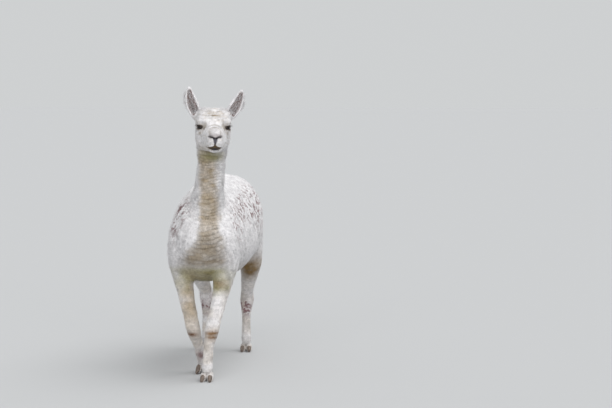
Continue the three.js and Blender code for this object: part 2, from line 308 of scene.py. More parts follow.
def set_colours(mesh, name, colours):
    attribute = mesh.color_attributes.new(name, "FLOAT_COLOR", "POINT")
    rgba = np.ones((len(colours), 4), np.float32)
    rgba[:, :3] = colours
    attribute.data.foreach_set("color", rgba.ravel())


# ---------------------------------------------------------------- the body's regions
POLL = (at(0.074, -0.35, 1.118), unit([0, -0.76, 0.65]))       # neck to head
NECK_ROOT = (at(0.02, -0.268, 0.792), unit([0, -0.6, 0.8]))  # trunk to neck
ELBOWS = (at(0, -0.25, 0.436), unit([0, -0.17, -0.985]))       # trunk to forelegs
STIFLES = (at(0, 0.27, 0.522), unit([0, 0.475, -0.88]))        # trunk to hindlegs
EAR_ROOT_SLOPE = unit([0.78, 0.62])


def beyond(points, plane, soft):
    """How far points lie past a plane: 0 before it, 1 after it."""
    place_on, normal = plane
    return ease((points - place_on) @ normal, -soft, soft)


def ear_place(points, side):
    """Where points lie on an ear: share of its length, out across it, and out of its cup."""
    sign = SIDES[side]
    lean = EAR_LEAN[side]
    axis = HEAD_UP * math.cos(lean) + LEFT * sign * math.sin(lean)
    turn = Matrix.Rotation(EAR_FACING[side] * sign, 3, Vector(axis))
    across = np.array(turn @ Vector(unit(LEFT - axis * (LEFT @ axis))))
    front = np.cross(across, axis)
    forward, out, up = EAR_BASE
    offset = points - on_head(forward, sign * out, up)
    share = offset @ axis / EAR_LENGTH
    bow = 4 * sign * EAR_BOW[side] * share * (1 - share)
    return share, (offset @ across - bow) * sign, offset @ front, axis, across * sign, front


def regions(points):
    """Shares from 0 to 1 of the parts of the body at each point."""
    h = head_place(points)
    part = {}
    head = beyond(points, POLL, 0.02)
    ear = np.zeros(len(points))
    for sign in SIDES.values():
        past = (h[:, 1] * sign - 0.077) * EAR_ROOT_SLOPE[0] + (h[:, 2] - 0.061) * EAR_ROOT_SLOPE[1]
        ear = np.maximum(ear, ease(past, -0.004, 0.006) * (h[:, 1] * sign > 0.03))
    part["ear"] = ear * (head > 0.5)
    part["head"] = head * (1 - part["ear"])
    part["neck"] = beyond(points, NECK_ROOT, 0.05) * (1 - head)
    fore = beyond(points, ELBOWS, 0.03) * (along(points) < 0)
    hind = beyond(points, STIFLES, 0.04) * (along(points) > 0)
    part["foot"] = ease(FOOT_TOP - points[:, 2], -0.01, 0.03)
    part["leg"] = np.maximum(fore, hind) * (1 - part["foot"])
    rest = sum(part[name] for name in ("ear", "head", "neck", "foot", "leg"))
    part["trunk"] = np.clip(1 - rest, 0, 1)
    return part


def by_part(part, table):
    """A value that runs smoothly from part to part."""
    total = sum(part[name] for name in table)
    return sum(part[name] * value for name, value in table.items()) / np.maximum(total, 1e-6)


# Part by part: the coat's depth, its tufts' length, and how far the skin is smoothed.
COAT_DEPTH = {"trunk": 0.0068, "neck": 0.0065, "leg": 0.0045, "head": 0.0038, "ear": 0.001,
              "foot": 0.0025}
TUFT_LENGTH = {"trunk": 0.0165, "neck": 0.012, "leg": 0.0115, "head": 0.008, "ear": 0.006, "foot": 0.0065}
SMOOTHING = {"trunk": 0.022, "neck": 0.018, "leg": 0.0085, "head": 0.006, "ear": 0.0022, "foot": 0.004}
SMOOTH_ROUNDS = 150
SPREAD_PER_ROUND = 1.35        # makes the rounds reach as far as SMOOTHING says
INSET_SHARE = 0.7             # of the coat's depth, as the smoothing also draws the skin in


def muzzle_share(points, part):
    """The muzzle and lower face, where the coat is shortest and thickest."""
    h = head_place(points)
    return part["head"] * ease(h[:, 0], 0.0, 0.08) * (1 - ease(h[:, 2], 0.03, 0.07))


def coat_depth(points, part, edges):
    depth = by_part(part, COAT_DEPTH) * (1 - 0.45 * muzzle_share(points, part))
    return smoothed(depth, edges, 0.5, 20)


# ---------------------------------------------------------------- the skin
def grown_copy():
    """The flesh nodes and eyeballs as one mesh, each grown a little so that the cuts close."""
    points, faces, start = [], [], 0
    for name in FLESH + ["eye_left", "eye_right"]:
        co, tri = welded(NODES[name].data)
        points.append(co + normals_of(co, tri) * GROW)
        faces.append(tri + start)
        start += len(co)
    return mesh_object("skin", np.vstack(points), np.vstack(faces))


def drop_specks(mesh):
    """Removes what the remesh leaves apart from the body."""
    first, second = edges_of(mesh).T
    label = np.arange(len(mesh.vertices))
    while True:
        lowest = np.minimum(label[first], label[second])
        spread = label.copy()
        np.minimum.at(spread, first, lowest)
        np.minimum.at(spread, second, lowest)
        spread = spread[spread]
        if np.array_equal(spread, label):
            break
        label = spread
    body = np.bincount(label).argmax()
    bm = bmesh.new()
    bm.from_mesh(mesh)
    stray = [v for v in bm.verts if label[v.index] != body]
    bmesh.ops.delete(bm, geom=stray, context="VERTS")
    bm.to_mesh(mesh)
    bm.free()


def lid_measure(points, side):
    """Over an eye: below 1 inside the lids' opening; also the way out from the eye's middle."""
    out, level, high = eye_axes(side)
    offset = points - EYE_AT[side]
    reach = np.linalg.norm(offset, axis=1)
    way = offset / np.maximum(reach, 1e-9)[:, None]
    beside = np.arcsin(np.clip(way @ level, -1, 1))
    above = np.arcsin(np.clip(way @ high, -1, 1))
    height = np.where(above > 0, LID_UPPER, LID_LOWER)
    measure = (np.abs(beside / LID_HALF_LENGTH) ** 1.7 + np.abs(above / height) ** 1.9) ** (1 / 1.8)
    elsewhere = (way @ out < 0.1) | (reach > LID_REACH)
    return np.where(elsewhere, 9.0, measure), reach, way, above


def open_lids(points):
    """Lays the skin around each eyeball as lids, and sinks it behind the eyeball between them."""
    for side in SIDES:
        measure, reach, way, above = lid_measure(points, side)
        near = measure < LIDS_END
        m = measure[near]
        upper = 1 + 0.5 * np.sign(above[near])
        lid = EYE_RADIUS + LID_GAP + LID_ROLL * bell(m - 1.22, 0.16) * upper
        lid = lid - LID_CREASE * bell(m - 1.62, 0.13)
        blend = ease(m, 1.35, 2.1)
        target = lid * (1 - blend) + np.maximum(reach[near], lid) * blend
        sunk = EYE_RADIUS - SUNK_BEHIND
        edge = ease(m, 0.93, 1.03)
        target = sunk * (1 - edge) + target * edge
        points[near] = EYE_AT[side] + way[near] * target[:, None]
    return points


# The face's features, in the head's own forward, left and up. Most are mirrored left to right.
NOSTRIL_SLIT = ((0.006, -0.043), (0.0115, -0.0405), (0.018, -0.0378), (0.024, -0.0375))
PAD_TOP, PAD_BOTTOM = -0.041, -0.067
MOUTH_PEAK, MOUTH_BOTTOM = 0.0095, -0.0975
MOUTH_CORNER = -0.0765
MOUTH_HALF = 0.033
MOUTH_DROOP = 0.005
NOSE_FRONT = 0.1
BROW_AT = (0.018, 0.055, 0.029)
BROW_SIZE = (0.04, 0.018, 0.01)
BRIDGE_CREASE = (0.04, 0.036, 0.004)
CREASE_SIZE = (0.03, 0.009, 0.016)
NOSE_ARCS = ((0.025, 0.003), (0.036, 0.0018))


def off_line(across, up, line):
    """Distance from a broken line in the face's own plane."""
    best = np.full(len(across), 9.0)
    for (x0, y0), (x1, y1) in zip(line, line[1:]):
        dx, dy = x1 - x0, y1 - y0
        t = np.clip(((across - x0) * dx + (up - y0) * dy) / (dx * dx + dy * dy), 0, 1)
        best = np.minimum(best, np.hypot(across - x0 - t * dx, up - y0 - t * dy))
    return best


def face_features(points):
    """Where the muzzle's features are: each is a distance or a share from 0 to 1."""
    h = head_place(points)
    ahead, across, up = h.T
    side = np.abs(across)
    face = {"h": h, "side": side, "front": ease(ahead, NOSE_FRONT - 0.014, NOSE_FRONT)}
    face["mirrored"] = np.column_stack([ahead, side, up])
    face["slit"] = off_line(side, up, NOSTRIL_SLIT)
    face["cleft"] = off_line(side, up, ((0, -0.045), (0, -0.07)))
    reach = side / MOUTH_HALF
    ends = MOUTH_CORNER - MOUTH_DROOP * np.square(np.minimum(reach, 1))
    top = ends + MOUTH_PEAK * bell(side, 0.008)
    bottom = MOUTH_BOTTOM + (ends - 0.002 - MOUTH_BOTTOM) * np.minimum(reach, 1) ** 2.6
    gape = ease(top - up, -0.001, 0.0015) * ease(up - bottom, -0.001, 0.002)
    face["gape"] = gape * (1 - ease(reach, 0.96, 1.04)) * ease(ahead, 0.068, 0.082)
    behind = MOUTH_CORNER - MOUTH_DROOP + 0.1 * np.maximum(0.1 - ahead, 0)
    corner = bell(up - behind, 0.002) * ease(ahead, 0.068, 0.08)
    face["corner"] = corner * ease(side, MOUTH_HALF * 0.75, MOUTH_HALF * 0.95)
    pad = ease(-up, 0.018, 0.036) * ease(up, -0.05, -0.043)
    face["pad"] = pad * (1 - ease(side, 0.02, 0.028)) * face["front"]
    face["wing"] = bell(side - 0.0225, 0.004) * bell(up + 0.022, 0.012) * face["front"]
    down = np.clip((PAD_TOP - up) / (PAD_TOP - PAD_BOTTOM), 0, 1)
    half = 0.012 - 0.0075 * down
    wedge = ease(-up, -PAD_TOP - 0.004, -PAD_TOP + 0.002)
    wedge = wedge * ease(up, PAD_BOTTOM - 0.004, PAD_BOTTOM)
    face["wedge"] = wedge * (1 - ease(side, half * 0.7, half * 1.25)) * face["front"]
    return face


def nose_arc(h, radius):
    """One of the wrinkles that arch over the nose, from 0 to 1."""
    ahead, across, up = h.T
    arc = np.hypot(across * 0.9, up + 0.024) - radius
    over = ease(ahead, 0.04, 0.07) * (up > -0.02)
    return bell(arc, 0.0022) * over * bell(across, 0.024)


# How far each feature of the face stands out of the skin, or with a minus is sunk in it.
FACE_RELIEF = {
    "nostril": -0.008,
    "nostril_rim": 0.0022,
    "groove": -0.0036,
    "wedge": -0.0016,
    "bulb": 0.004,
    "lip_pads": 0.0034,
    "wing": -0.0022,
    "gape": -0.0045,
    "corner": -0.0025,
    "under_lip": -0.0035,
    "brow": 0.0065,
    "bridge": -0.0045,
}


def carve_face(points, normals):
    """Nostrils, lips, chin, brows and the wrinkles over the nose and forehead."""
    face = face_features(points)
    h, side, front, mirrored = face["h"], face["side"], face["front"], face["mirrored"]
    ahead, across, up = h.T
    wide = 0.0026 + 0.002 * ease(side, 0.01, 0.02)
    face["nostril"] = bell(face["slit"], wide) * front
    face["nostril_rim"] = bell(face["slit"] - 0.0075, 0.0035) * front * (up > -0.04)
    face["groove"] = bell(face["cleft"], 0.0018) * front
    face["bulb"] = spot(mirrored, (0.096, 0.012, -0.026), (0.03, 0.02, 0.0085))
    face["lip_pads"] = bell(side - 0.016, 0.01) * bell(up + 0.061, 0.01) * front
    face["under_lip"] = ease(-up, 0.098, 0.106) * ease(ahead, 0.085, 0.105)
    face["brow"] = spot(mirrored, BROW_AT, BROW_SIZE)
    face["bridge"] = spot(mirrored, BRIDGE_CREASE, CREASE_SIZE)
    move = sum(depth * face[name] for name, depth in FACE_RELIEF.items())
    for radius, depth in NOSE_ARCS:
        move -= depth * nose_arc(h, radius)
    brow = np.sin(up * 2 * math.pi / 0.01 + 3.5 * noise(points, 0.03, 12))
    forehead = band(up, 0.026, 0.042, 0.075, 0.085) * bell(across, 0.048)
    move += 0.001 * brow * forehead * ease(ahead, -0.03, 0.0)
    cheek = np.sin((up + 0.5 * side) * 2 * math.pi / 0.012 + 3.0 * noise(points, 0.03, 13))
    lower = ease(-up, 0.02, 0.05) * ease(side, 0.035, 0.05)
    move += 0.0006 * cheek * lower
    return points + normals * move[:, None]


CHEST_TOP = 0.7
RIDGE_ABOVE, RIDGE_BELOW = 0.0135, 0.02
SHEAR_BAND = 0.021


def ridges(points):
    """The fleece's ridges across the neck and chest, from -1 to 1."""
    warp = noise(points, 0.05, 3) * 0.007 + noise(points, 0.12, 4) * 0.016
    off_centre = leftward(points) - stripe_middle(points[:, 2])
    level = points[:, 2] + warp - 2.6 * np.square(off_centre) - CHEST_TOP
    turns = np.where(level > 0, level / RIDGE_ABOVE, level / RIDGE_BELOW)
    return np.sin(turns * 2 * math.pi)


def shear_marks(points):
    """The marks that the shears left, in broad bands down the flanks, from -1 to 1."""
    run = along(points) + 0.35 * points[:, 2] + 0.012 * noise(points, 0.07, 9)
    return np.sin(run * 2 * math.pi / SHEAR_BAND) * (0.5 + 0.5 * noise(points, 0.05, 10))


def stripe_middle(level):
    """Where the middle of the neck's and chest's front lies across the body, at each level."""
    return 0.05 - 0.038 * ease(CHEST_TOP - level, 0, 0.22)


def stripe_share(points, normals):
    """The front of the neck and chest, where the fleece is stained and ridged."""
    level = points[:, 2]
    half = 0.04 + 0.07 * ease(CHEST_TOP + 0.02 - level, 0, 0.22)
    ragged = 0.16 * noise(points, 0.03, 27) + 0.1 * noise(points, 0.012, 28)
    reach = np.abs(leftward(points) - stripe_middle(level)) / half + ragged
    return (1 - ease(reach, 0.45, 1.25)) * ease(-normals[:, 1], 0.05, 0.5) * (along(points) < -0.15)


def wrinkles(points, normals, part):
    """Ridges over the neck and chest, a soft unevenness, and the fold behind each shoulder."""
    level = points[:, 2]
    front = ease(-normals[:, 1], 0.1, 0.75) * (along(points) < -0.15)
    chest = front * (0.2 + 0.8 * stripe_share(points, normals)) * (1 - part["head"])
    amount = np.maximum(part["neck"] * (0.35 + 0.65 * front), chest * ease(level, 0.46, 0.56))
    uneven = 0.55 + 0.45 * noise(points, 0.045, 8)
    body = part["trunk"] + part["neck"] + 0.5 * part["leg"]
    move = 0.0036 * ridges(points) * amount * uneven
    rings = np.sin((level + 0.006 * noise(points, 0.05, 14)) * 2 * math.pi / 0.0125)
    move += 0.0009 * rings * part["leg"] * (0.5 + 0.5 * noise(points, 0.05, 15))
    lumps = noise(points, 0.035, 5) * 0.0022 + noise(points, 0.016, 6) * 0.0019
    move += body * (lumps + noise(points, 0.008, 7) * 0.0009)
    move += 0.0008 * shear_marks(points) * part["trunk"] * (1 - front)
    outer = ease(np.abs(normals[:, 0]), 0.4, 0.8) * (along(points) < 0)
    fold = along(points) + 0.15 + 2.5 * np.square(level - 0.6)
    height = band(level, 0.46, 0.56, 0.68, 0.76)
    move += (0.006 * bell(fold + 0.045, 0.045) - 0.007 * bell(fold, 0.009)) * outer * height
    return points + normals * move[:, None]


def make_skin():
    """The skin, one closed surface: the frame's flesh smoothed, set in under the coat and carved."""
    skin = grown_copy()
    mesh = remeshed(skin, VOXEL)
    drop_specks(mesh)

    points = positions(mesh)
    sole = points[:, 2] < SOLE
    edges = edges_of(mesh)
    tri = triangles(mesh)
    part = regions(points)
    spread = np.square(by_part(part, SMOOTHING) / VOXEL)
    strength = np.clip(spread * SPREAD_PER_ROUND / SMOOTH_ROUNDS, 0, 0.9)
    points = smoothed(points, edges, strength, SMOOTH_ROUNDS)

    normals = normals_of(points, tri)
    normals = unit(smoothed(normals, edges, 0.5, 6))
    depth = coat_depth(points, part, edges) * ease(points[:, 2], 0.002, 0.015)
    points = points - normals * (INSET_SHARE * depth)[:, None]
    points[sole, 2] = 0

    points = open_lids(points)
    points = carve_face(points, normals_of(points, tri))
    points = wrinkles(points, normals, part)
    points[:, 2] = np.maximum(points[:, 2], 0)
    place(mesh, points)
    lighten(skin)
    return skin


def lighten(skin):
    """Brings the skin down to its share of triangles, taking them from where it is plain."""
    mesh = skin.data
    points = positions(mesh)
    part = regions(points)
    h = head_place(points)
    keep = 0.75 * np.maximum(part["ear"], part["head"]) + 0.2 * part["foot"]
    keep = np.maximum(keep, part["head"] * ease(h[:, 0], 0.0, 0.03))
    group = skin.vertex_groups.new(name="plain")
    for level in range(11):
        inside = np.nonzero(np.round((1 - keep) * 10) == level)[0]
        group.add(inside.tolist(), level / 10, "REPLACE")
    decimate = skin.modifiers.new("lighten", "DECIMATE")
    decimate.vertex_group = "plain"
    decimate.vertex_group_factor = 6.0
    decimate.ratio = SKIN_TRIANGLES / (2 * len(mesh.polygons))
    mesh = evaluated(skin)
    skin.vertex_groups.clear()
    shade_smooth(mesh)


# ---------------------------------------------------------------- markings and painted shade, shared by skin and coat
WHITE = np.array([0.84, 0.82, 0.83])
BEIGE = np.array([0.46, 0.36, 0.235])
OLIVE_SHADE = np.array([0.28, 0.255, 0.1])
RUST = np.array([0.2, 0.095, 0.095])
PLUM = np.array([0.3, 0.2, 0.21])
DARK_LIP = np.array([0.06, 0.038, 0.03])
NOSE = np.array([0.27, 0.22, 0.225])
NOSE_DARK = np.array([0.085, 0.08, 0.098])
NOSTRIL = np.array([0.022, 0.016, 0.017])
PINK = np.array([0.62, 0.5, 0.48])
INNER_EAR = np.array([0.19, 0.12, 0.108])
OCHRE = np.array([0.21, 0.13, 0.048])
KNEE = np.array([0.17, 0.085, 0.045])
TAN = np.array([0.29, 0.175, 0.085])
LIP_ABOVE = np.array([0.085, 0.052, 0.02])
MOUTH_SHADOW = np.array([0.013, 0.013, 0.018])


def mixed(colours, other, share):
    share = np.clip(share, 0, 1)[:, None]
    return colours * (1 - share) + other * share


def layered(colours, layers):
    """Colours with each (paint, share) laid over the last."""
    for paint, share in layers:
        colours = mixed(colours, paint, share)
    return colours


def spot(points, centre, size):
    """A soft-edged patch round a point; size is its reach along x, y and z."""
    return np.exp(-np.sum(np.square((points - np.array(centre)) / np.array(size)), axis=1))


def markings_and_shade(points, normals):
    """The colour of the animal at each point, by formula, with painted shade laid in."""
    part = regions(points)
    colours = np.broadcast_to(WHITE, (len(points), 3)).copy()
    tone = 1 + 0.05 * noise(points, 0.1, 21) + 0.09 * noise(points, 0.022, 22)
    # Painted shade: the trunk is made darker towards its lower flanks.
    low = ease(0.72 - points[:, 2], 0, 0.15)
    tone = tone + (0.08 * shear_marks(points) - 0.18 * low) * part["trunk"] + 0.04 * part["neck"]
    colours *= tone[:, None]
    # Legs and neck washed towards beige: partly wear, partly painted shade.
    wear_and_shade = 0.02 * part["neck"] + 0.27 * part["leg"] * (1 + noise(points, 0.04, 29))
    colours = mixed(colours, BEIGE, wear_and_shade)
    return paint_face(paint_body(colours, points, normals, part), points, normals, part)


def streaks(points):
    """Thin stains that run down and back along the flank, from 0 to 1."""
    down = points @ np.array([0, 0.5, -0.866])
    over = points @ np.array([0, 0.866, 0.5])
    place = np.column_stack([points[:, 0], over, down])
    fine = 0.55 * noise(place, (0.011, 0.0045, 0.011), 24)
    fine = fine + 0.45 * noise(place, (0.024, 0.01, 0.024), 25)
    return ease(fine, 0.11, 0.25)


# Where the plum streaks lie: place and reach.
STREAKED = [
    (at(0.19, 0.15, 0.77), (0.1, 0.15, 0.09)),
    (at(0.16, -0.05, 0.77), (0.08, 0.09, 0.05)),
    (at(0.15, -0.2, 0.71), (0.06, 0.05, 0.065)),
    (at(-0.1, -0.29, 0.74), (0.06, 0.06, 0.085)),
    (at(-0.18, 0.12, 0.76), (0.1, 0.14, 0.06)),
    (at(0.1, 0.345, 0.235), (0.05, 0.06, 0.04)),
    (at(-0.127, 0.37, 0.235), (0.05, 0.06, 0.04)),
]
# The other stains: place, reach, share and colour.
STAINS = [
    (at(0.155, 0.165, 0.455), (0.07, 0.085, 0.062), 1.2, OCHRE),
    # Partly painted shade: the right foreleg, beige and also darkened where it stands in shadow.
    (at(-0.05, -0.3, 0.33), (0.045, 0.06, 0.15), 0.8, BEIGE),
    (at(0.09, -0.31, 0.44), (0.04, 0.035, 0.024), 0.6, OCHRE),
    (at(0.074, -0.4, 0.226), (0.028, 0.03, 0.0065), 1.1, KNEE),
    (at(0.074, -0.4, 0.207), (0.026, 0.03, 0.006), 1.1, KNEE),
    (at(0.074, -0.4, 0.218), (0.036, 0.034, 0.028), 0.7, TAN),
    (at(-0.042, -0.323, 0.205), (0.026, 0.026, 0.012), 1.1, KNEE),
    (at(-0.014, -0.257, 0.092), (0.02, 0.03, 0.024), 0.9, RUST),
    (at(0.1, 0.345, 0.235), (0.05, 0.06, 0.03), 0.45, PLUM),
    (at(-0.127, 0.37, 0.235), (0.05, 0.06, 0.03), 0.55, PLUM),
]


def paint_body(colours, points, normals, part):
    """The stains of the neck, chest, flanks, legs and feet, painted shade in the grooves between the
    chest's ridges, olive painted shade with green bounce light under the chest and the chin, and darker
    beige on the downward-facing belly.
    """
    level = points[:, 2]
    blotch = 0.5 + 0.5 * noise(points, (0.03, 0.03, 0.012), 23)
    patchy = ease(noise(points, (0.035, 0.035, 0.022), 26), -0.5, 0.6)
    stripe = stripe_share(points, normals)
    groove = 0.5 - 0.5 * ridges(points)
    upper = band(level, 0.5, 0.56, 1.04, 1.1)
    chest = ease(CHEST_TOP + 0.05 - level, 0, 0.1)
    lined = (0.2 * part["neck"] + 0.5 * stripe) * upper
    ahead = ease(-normals[:, 1] - 0.6 * normals[:, 2], 0.0, 0.5) * ease(-along(points), 0.12, 0.26)
    width = 1.5 * bell(leftward(points) - 0.012, 0.115) + 0.35 * noise(points, 0.03, 34)
    low_chest_shade = ahead * np.clip(width, 0, 1) * band(level, 0.365, 0.44, 0.495, 0.54)
    throat_shade = part["neck"] * ease(level, 1.0, 1.045) * bell(head_place(points)[:, 1], 0.045)
    belly = ease(-normals[:, 2], 0.3, 0.9) * part["trunk"]
    dirty = sum(spot(points, place, size) for place, size in STREAKED)
    feet = ease(0.1 - level, 0, 0.08)
    layers = [
        (BEIGE * (1 - 0.35 * chest)[:, None], stripe * upper * (0.56 + 0.2 * blotch + 0.2 * patchy)),
        # Painted shade: darker beige in the grooves between the ridges of the neck and chest.
        (BEIGE * 0.45, lined * groove ** 2 * (0.4 + 0.6 * blotch)),
        # Painted shade with green bounce light: olive under the chest and under the chin.
        (OLIVE_SHADE, low_chest_shade * (0.8 + 0.2 * patchy)),
        (OLIVE_SHADE, throat_shade * ease(-normals[:, 1], 0.0, 0.6) * (0.4 + 0.6 * blotch)),
        (BEIGE * 0.8, 0.35 * belly),
        (RUST, 0.92 * streaks(points) * np.clip(1.5 * dirty, 0, 1)),
    ]
    for place, size, share, paint in STAINS:
        layers.append((paint, share * spot(points, place, size) * (0.6 + 0.6 * blotch)))
    layers.append((BEIGE * 0.75, feet * (0.12 + 0.4 * blotch)))
    return layered(colours, layers)


EAR_SHARES = (-0.1, 0.08, 0.3, 0.45, 0.65, 0.85, 0.95, 1.05)
EAR_HALVES = (0.02, 0.027, 0.03, 0.0275, 0.022, 0.014, 0.009, 0.004)


def cup_share(points, normals, name):
    """The bare inside of an ear, within its furred rim."""
    share, across, _, _, _, cup = ear_place(points, name)
    half = np.interp(share, EAR_SHARES, EAR_HALVES)
    inside = 1 - ease(np.abs(across) / half, 0.54, 0.8)
    end = 1 - ease(share, 0.84, 0.92)
    return inside * ease(normals @ cup, 0.0, 0.35) * ease(share, -0.05, 0.05) * end


def paint_face(colours, points, normals, part):
    """The forehead, nose, lips and throat, with painted shade in the face's creases, the nostrils, the
    mouth and under the chin, then the lids, the tear stains and the ears' cups.
    """
    face = face_features(points)
    h, side, front, mirrored = face["h"], face["side"], face["front"], face["mirrored"]
    line = noise(points, (0.022, 0.022, 0.0035), 32)
    forehead = spot(h, (0.02, 0.0, 0.056), (0.06, 0.046, 0.022)) * part["head"]
    cheeks = part["head"] * (1 - spot(h, (0.08, 0.0, -0.01), (0.08, 0.035, 0.035)))
    cheek_marks = ease(noise(points, (0.014, 0.014, 0.005), 33), 0.0, 0.7)
    # The mouth: brown lip colour above, and painted shadow between the lips below its middle.
    inside = ease(-h[:, 2], 0.081, 0.088) * bell(side, 0.019)
    lip_and_mouth_shadow = mixed(np.tile(LIP_ABOVE, (len(h), 1)), MOUTH_SHADOW, inside)
    layers = [
        (BEIGE * 0.7, forehead * (0.3 + 0.68 * ease(line, -0.05, 0.4))),
        (NOSE, 0.32 * spot(h, (0.1, 0.0, -0.018), (0.04, 0.03, 0.022))),
        # Painted shade in the creases beside the bridge and in the wrinkles that arch over the nose.
        (BEIGE * 0.6, 0.4 * spot(mirrored, BRIDGE_CREASE, CREASE_SIZE)),
        *[(BEIGE * 0.5, 0.6 * nose_arc(h, radius)) for radius, _ in NOSE_ARCS],
        (BEIGE, 0.25 * cheek_marks * cheeks),
        (PINK, 0.3 * spot(h, (0.1, 0.0, -0.031), (0.03, 0.024, 0.006))),
        # Painted shade at the sides of the nose's bulb.
        (BEIGE * 0.5, 0.45 * face["wing"]),
        (NOSE, 0.6 * face["pad"]),
        (NOSE_DARK, 0.96 * face["wedge"]),
        # Near-black in the nostril slits: painted shade of the openings.
        (NOSTRIL, bell(face["slit"], 0.0048) * front),
        (lip_and_mouth_shadow, 0.97 * face["gape"]),
        (LIP_ABOVE, 0.6 * face["corner"]),
        # Painted shadow under the chin, olive with green bounce light.
        (OLIVE_SHADE, 0.85 * spot(h, (0.02, 0.0, -0.128), (0.09, 0.05, 0.02))),
    ]
    for name in SIDES:
        measure = lid_measure(points, name)[0]
        layers.append((DARK_LIP, 1 - ease(measure, 1.1, 1.28)))
        layers.append((BEIGE * 0.6, 0.35 * (1 - ease(measure, 1.3, 2.0))))
    layers.append((OCHRE, 0.6 * spot(mirrored, (0.034, 0.06, -0.024), (0.014, 0.009, 0.008))))
    layers += [ear_layer(points, normals, part, name) for name in SIDES]
    return layered(colours, layers)


def ear_layer(points, normals, part, name):
    """The bare pink-grey inside of an ear, darkest down its middle, and its share."""
    share, out, _, _, _, _ = ear_place(points, name)
    deep = bell(out / np.interp(share, EAR_SHARES, EAR_HALVES), 0.45)
    streak = 1.15 - 0.45 * deep + 0.4 * noise(points, (0.005, 0.005, 0.03), 31)
    return INNER_EAR * streak[:, None], cup_share(points, normals, name) * part["ear"]


# ---------------------------------------------------------------- materials
def new_material(name, roughness):
    material = bpy.data.materials.new(name)
    material.use_nodes = True
    shader = material.node_tree.nodes["Principled BSDF"]
    shader.inputs["Roughness"].default_value = roughness
    return material, material.node_tree, shader


def node(tree, kind, **values):
    """A shader node with the given inputs or settings."""
    item = tree.nodes.new(kind)
    for key, value in values.items():
        if key in item.inputs:
            item.inputs[key].default_value = value
        else:
            setattr(item, key, value)
    return item


def object_noise(tree, scale, detail, stretch=(1, 1, 1)):
    place_node = node(tree, "ShaderNodeTexCoord")
    mapping = node(tree, "ShaderNodeMapping", Scale=stretch)
    texture = node(tree, "ShaderNodeTexNoise", Scale=scale, Detail=detail)
    tree.links.new(place_node.outputs["Object"], mapping.inputs["Vector"])
    tree.links.new(mapping.outputs["Vector"], texture.inputs["Vector"])
    return texture.outputs["Fac"]


def tinted(tree, shader, attribute, factor, dark, light):
    """The markings and painted shade, a little darker and lighter with a noise."""
    colour = node(tree, "ShaderNodeAttribute", attribute_name=attribute)
    shade = node(tree, "ShaderNodeMapRange")
    shade.inputs["To Min"].default_value = dark
    shade.inputs["To Max"].default_value = light
    shade.inputs["From Min"].default_value = 0.3
    shade.inputs["From Max"].default_value = 0.7
    scale = node(tree, "ShaderNodeVectorMath", operation="SCALE")
    tree.links.new(factor, shade.inputs["Value"])
    tree.links.new(colour.outputs["Color"], scale.inputs[0])
    tree.links.new(shade.outputs["Result"], scale.inputs["Scale"])
    tree.links.new(scale.outputs["Vector"], shader.inputs["Base Color"])


def bumped(tree, shader, factor, distance, strength):
    """A fine unevenness in the shading, from a noise."""
    bump = node(tree, "ShaderNodeBump", Strength=strength, Distance=distance)
    tree.links.new(factor, bump.inputs["Height"])
    tree.links.new(bump.outputs["Normal"], shader.inputs["Normal"])


def coat_material():
    material, tree, shader = new_material("fleece", 0.92)
    shader.inputs["Specular IOR Level"].default_value = 0.2
    shader.inputs["Sheen Weight"].default_value = 0.25
    shader.inputs["Sheen Roughness"].default_value = 0.5
    tinted(tree, shader, "markings_and_shade", object_noise(tree, 260, 3), 0.9, 1.08)
    bumped(tree, shader, object_noise(tree, 900, 2), 0.0004, 0.5)
    return material


def skin_material():
    material, tree, shader = new_material("skin", 0.7)
    shader.inputs["Specular IOR Level"].default_value = 0.15
    tinted(tree, shader, "markings_and_shade", object_noise(tree, 180, 4), 0.85, 1.08)
    bumped(tree, shader, object_noise(tree, 700, 4), 0.0006, 0.6)
    return material


# ---------------------------------------------------------------- the lie of the coat
def lie(points, normals, part):
    """The way the hair points, before it is laid flat on the skin."""
    flank = 1 - np.abs(normals[:, 2:3])
    rump = ease(along(points), 0.27, 0.39)[:, None]
    trunk = np.array([0, 1.0, 0]) + flank * np.array([0, 0, -0.9]) + rump * np.array([0, -0.5, -1.2])
    neck = np.broadcast_to(unit([-0.147, 0.386, -0.921]), points.shape)
    leg = np.broadcast_to([0, 0.12, -1.0], points.shape)
    foot = np.broadcast_to([0, -0.45, -0.9], points.shape)
    h = head_place(points)
    crown = ease(h[:, 2], 0.02, 0.07)[:, None]
    cheek = ease(-h[:, 2], 0.02, 0.08)[:, None]
    outwards = np.sign(h[:, 1:2]) * LEFT
    head = -FORWARD + HEAD_UP * 0.25 + 0.35 * outwards + crown * HEAD_UP * 0.9 - cheek * HEAD_UP * 0.55
    ear = HEAD_UP + outwards * 0.35
    ways = {"trunk": trunk, "neck": neck, "leg": leg, "foot": foot, "head": head, "ear": ear}
    total = sum(part[name][:, None] * unit(way) for name, way in ways.items())
    return unit(total)


# Each coat piece: how many tufts it has, and their half width.
COAT_PIECES = {
    "coat_head": (32000, 0.0013),
    "coat_neck": (30000, 0.0024),
    "coat_fore_left": (29500, 0.0032),
    "coat_fore_right": (29500, 0.0032),
    "coat_rear_left": (30000, 0.0032),
    "coat_rear_right": (30000, 0.0032),
    "coat_forelegs": (26000, 0.0024),
    "coat_hindlegs": (28000, 0.0024),
}


